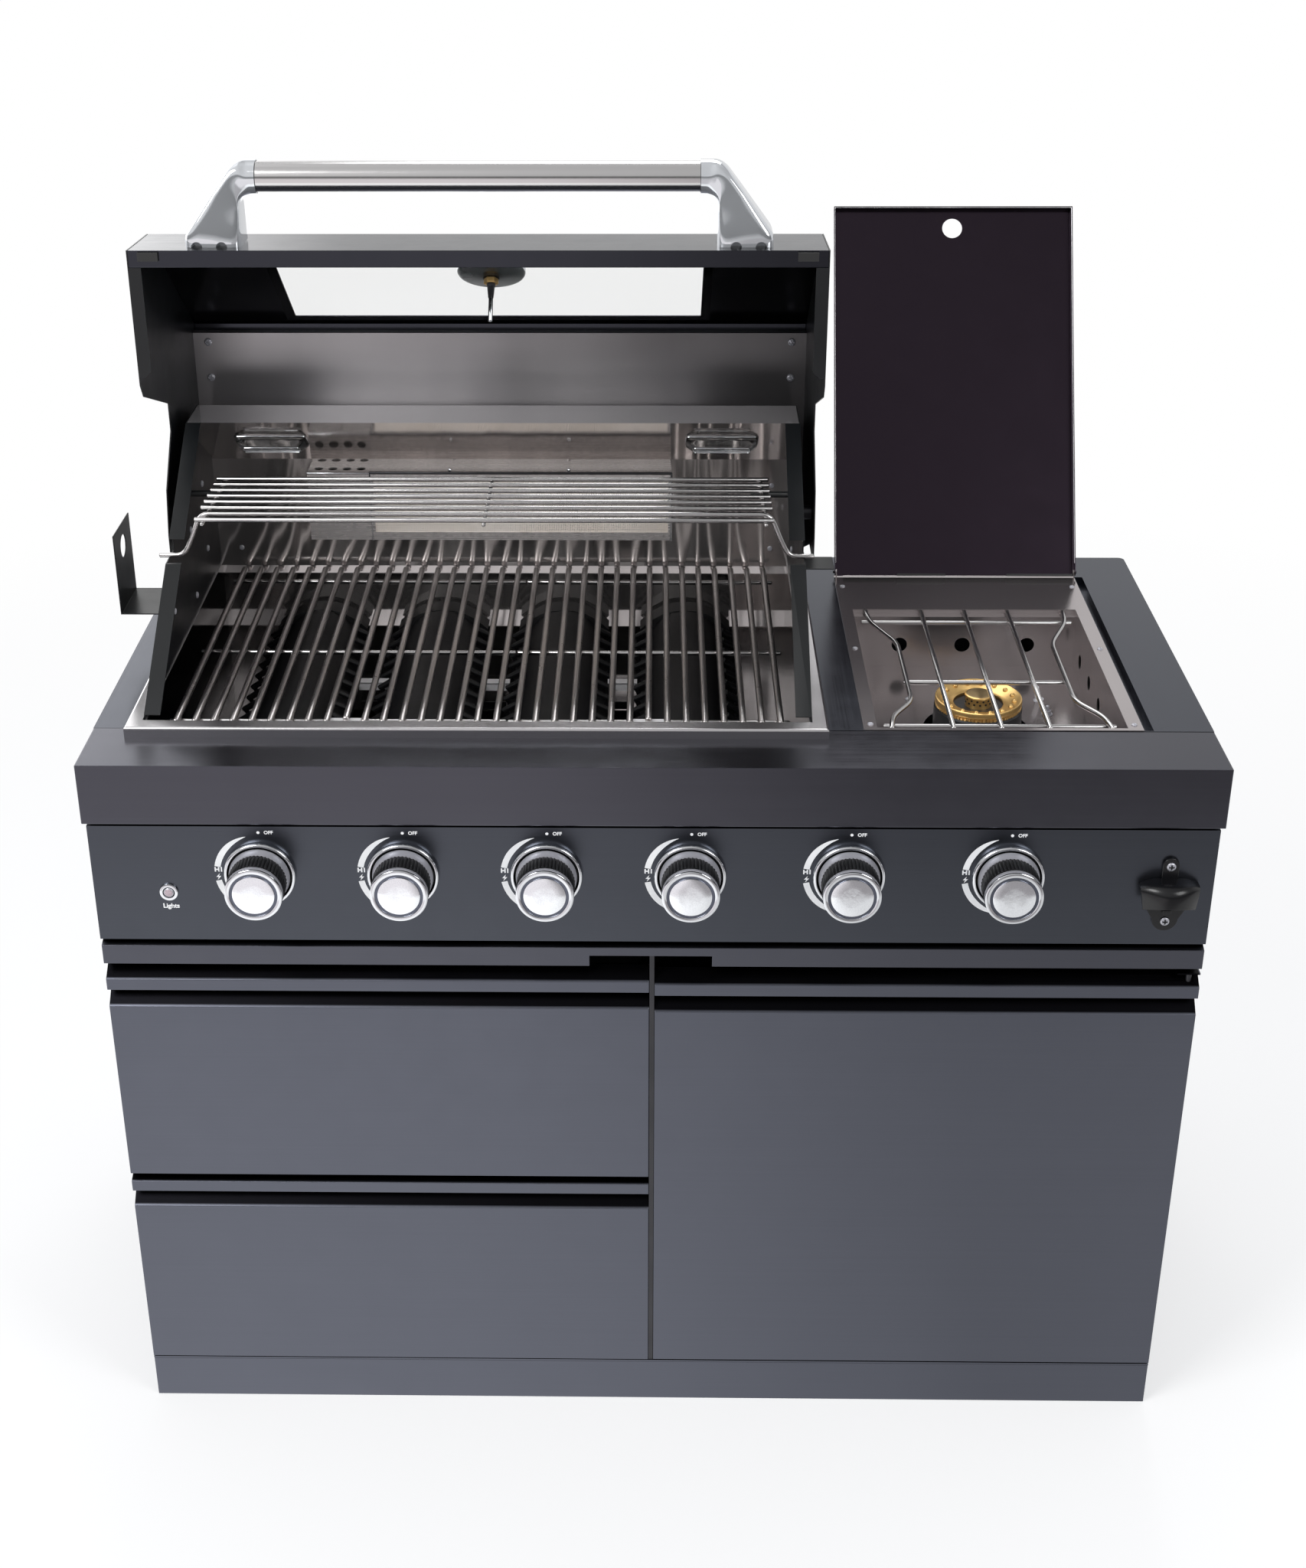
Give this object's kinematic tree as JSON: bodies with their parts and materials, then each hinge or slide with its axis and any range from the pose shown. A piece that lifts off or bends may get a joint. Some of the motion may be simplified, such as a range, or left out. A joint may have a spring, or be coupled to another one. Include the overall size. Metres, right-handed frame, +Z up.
{
  "type": "gas barbecue grill",
  "caption": "Outdoor-kitchen gas barbecue: grill head with a windowed hood, side burner with a fold-up lid, and a cabinet with drawers and a gas-bottle door.",
  "frame": {"origin": "on the floor, under the middle of the worktop", "axes": "+X to the user's right, +Y from the user's side to the back, +Z up"},
  "size_m": [1.301, 0.8715, 1.525],
  "materials": {
    "stainless_brushed": "brushed",
    "black_stainless": "brushed, tinted black",
    "dark_worktop": "fine brushed, tinted black",
    "galvanised": "zinc coated",
    "chrome": "polished",
    "cast_dark": "cast",
    "black_enamel": "gloss enamel",
    "steel_rod": "drawn wire",
    "brass": "machined",
    "ceramic": "unglazed ceramic",
    "rubber": "matt",
    "frosted_glass": "frosted",
    "smoked_glass": "tinted"
  },
  "bodies": {
    "root": {"plinth": "black_stainless", "cabinet_floor": "black_stainless", "gables": "black_stainless", "cabinet_back": "galvanised", "centre_divider": "galvanised", "worktop_front": "dark_worktop", "worktop_deck": "dark_worktop", "control_panel": "black_stainless", "knob_bezels": "chrome", "gas_valves": "brass", "gas_manifold": "galvanised", "bottle_opener": "cast_dark", "fixed_runners": "galvanised", "head_rim": "stainless_brushed", "firebox": "stainless_brushed", "head_side_plates": "black_enamel", "rear_wall": "stainless_brushed", "lamp_glasses": "frosted_glass", "rear_burner": "stainless_brushed", "rear_burner_tile": "ceramic", "main_burners": "stainless_brushed", "flame_tamers": "black_enamel", "rotisserie_brackets": "stainless_brushed", "side_burner_tray": "stainless_brushed", "side_burner": "cast_dark", "side_burner_ring": "brass", "hinge_pins": "galvanised", "screws": "chrome"},
    "hood": {"hood_shell": "dark_worktop", "hood_sides": "black_enamel", "hood_liner": "stainless_brushed", "window_glass": "smoked_glass", "thermometer": "chrome", "hood_handle_tube": "stainless_brushed", "handle_posts": "chrome", "hood_bumpers": "rubber"},
    "side_lid": {"side_lid": "dark_worktop"},
    "drawer_upper": {"drawer_front_upper": "black_stainless", "drawer_box_upper": "galvanised"},
    "drawer_lower": {"drawer_front_lower": "black_stainless", "drawer_box_lower": "galvanised"},
    "door": {"door": "black_stainless"},
    "drip_tray": {"drip_tray": "black_stainless"},
    "light_button": {"light_button": "chrome"},
    "grate_left": {"grate_left": "steel_rod"},
    "grate_right": {"grate_right": "steel_rod"},
    "warming_rack": {"warming_rack": "steel_rod"},
    "pan_support": {"pan_support": "steel_rod"},
    "valve_spindle_1": {"valve_spindle_1": "brass"},
    "knob_1": {"knob_1": "chrome"},
    "valve_spindle_2": {"valve_spindle_2": "brass"},
    "knob_2": {"knob_2": "chrome"},
    "valve_spindle_3": {"valve_spindle_3": "brass"},
    "knob_3": {"knob_3": "chrome"},
    "valve_spindle_4": {"valve_spindle_4": "brass"},
    "knob_4": {"knob_4": "chrome"},
    "valve_spindle_5": {"valve_spindle_5": "brass"},
    "knob_5": {"knob_5": "chrome"},
    "valve_spindle_6": {"valve_spindle_6": "brass"},
    "knob_6": {"knob_6": "chrome"}
  },
  "joints": [
    {"name": "hood_hinge", "type": "hinge", "parent": "root", "child": "hood", "pos_m": [-0.2025, 0.1215, 1.068], "axis": [1, 0, 0], "range_deg": [0, 90]},
    {"name": "side_lid_hinge", "type": "hinge", "parent": "root", "child": "side_lid", "pos_m": [0.40775, 0.2455, 0.937], "axis": [1, 0, 0], "range_deg": [0, 120]},
    {"name": "drawer_upper_slide", "type": "slide", "parent": "root", "child": "drawer_upper", "axis": [0, -1, 0], "range_m": [0, 0.4]},
    {"name": "drawer_lower_slide", "type": "slide", "parent": "root", "child": "drawer_lower", "axis": [0, -1, 0], "range_m": [0, 0.4]},
    {"name": "drip_tray_slide", "type": "slide", "parent": "root", "child": "drip_tray", "axis": [0, -1, 0], "range_m": [0, 0.35]},
    {"name": "door_hinge", "type": "hinge", "parent": "root", "child": "door", "pos_m": [0.633, -0.3095, 0.36], "axis": [0, 0, 1], "range_deg": [0, 100]},
    {"name": "light_button_push", "type": "slide", "parent": "root", "child": "light_button", "axis": [0, 1, 0], "range_m": [0, 0.002], "stiffness_N_per_m": 500, "springref_m": -0.004},
    {"name": "grate_left_lift", "type": "slide", "parent": "root", "child": "grate_left", "axis": [0, 0, 1], "range_m": [0, 0.04]},
    {"name": "grate_right_lift", "type": "slide", "parent": "root", "child": "grate_right", "axis": [0, 0, 1], "range_m": [0, 0.04]},
    {"name": "warming_rack_pull", "type": "slide", "parent": "root", "child": "warming_rack", "axis": [0, -1, 0], "range_m": [0, 0.06]},
    {"name": "pan_support_lift", "type": "slide", "parent": "root", "child": "pan_support", "axis": [0, 0, 1], "range_m": [0, 0.15]},
    {"name": "knob_1_push", "type": "slide", "parent": "root", "child": "valve_spindle_1", "axis": [0, 1, 0], "range_m": [0, 0.0035], "stiffness_N_per_m": 400, "springref_m": -0.005},
    {"name": "knob_1_turn", "type": "hinge", "parent": "valve_spindle_1", "child": "knob_1", "pos_m": [-0.45, -0.3475, 0.789], "axis": [0, -1, 0], "range_deg": [0, 225]},
    {"name": "knob_2_push", "type": "slide", "parent": "root", "child": "valve_spindle_2", "axis": [0, 1, 0], "range_m": [0, 0.0035], "stiffness_N_per_m": 400, "springref_m": -0.005},
    {"name": "knob_2_turn", "type": "hinge", "parent": "valve_spindle_2", "child": "knob_2", "pos_m": [-0.285, -0.3475, 0.789], "axis": [0, -1, 0], "range_deg": [0, 225]},
    {"name": "knob_3_push", "type": "slide", "parent": "root", "child": "valve_spindle_3", "axis": [0, 1, 0], "range_m": [0, 0.0035], "stiffness_N_per_m": 400, "springref_m": -0.005},
    {"name": "knob_3_turn", "type": "hinge", "parent": "valve_spindle_3", "child": "knob_3", "pos_m": [-0.12, -0.3475, 0.789], "axis": [0, -1, 0], "range_deg": [0, 225]},
    {"name": "knob_4_push", "type": "slide", "parent": "root", "child": "valve_spindle_4", "axis": [0, 1, 0], "range_m": [0, 0.0035], "stiffness_N_per_m": 400, "springref_m": -0.005},
    {"name": "knob_4_turn", "type": "hinge", "parent": "valve_spindle_4", "child": "knob_4", "pos_m": [0.045, -0.3475, 0.789], "axis": [0, -1, 0], "range_deg": [0, 225]},
    {"name": "knob_5_push", "type": "slide", "parent": "root", "child": "valve_spindle_5", "axis": [0, 1, 0], "range_m": [0, 0.0035], "stiffness_N_per_m": 400, "springref_m": -0.005},
    {"name": "knob_5_turn", "type": "hinge", "parent": "valve_spindle_5", "child": "knob_5", "pos_m": [0.227, -0.3475, 0.789], "axis": [0, -1, 0], "range_deg": [0, 225]},
    {"name": "knob_6_push", "type": "slide", "parent": "root", "child": "valve_spindle_6", "axis": [0, 1, 0], "range_m": [0, 0.0035], "stiffness_N_per_m": 400, "springref_m": -0.005},
    {"name": "knob_6_turn", "type": "hinge", "parent": "valve_spindle_6", "child": "knob_6", "pos_m": [0.409, -0.3475, 0.789], "axis": [0, -1, 0], "range_deg": [0, 225]}
  ]
}
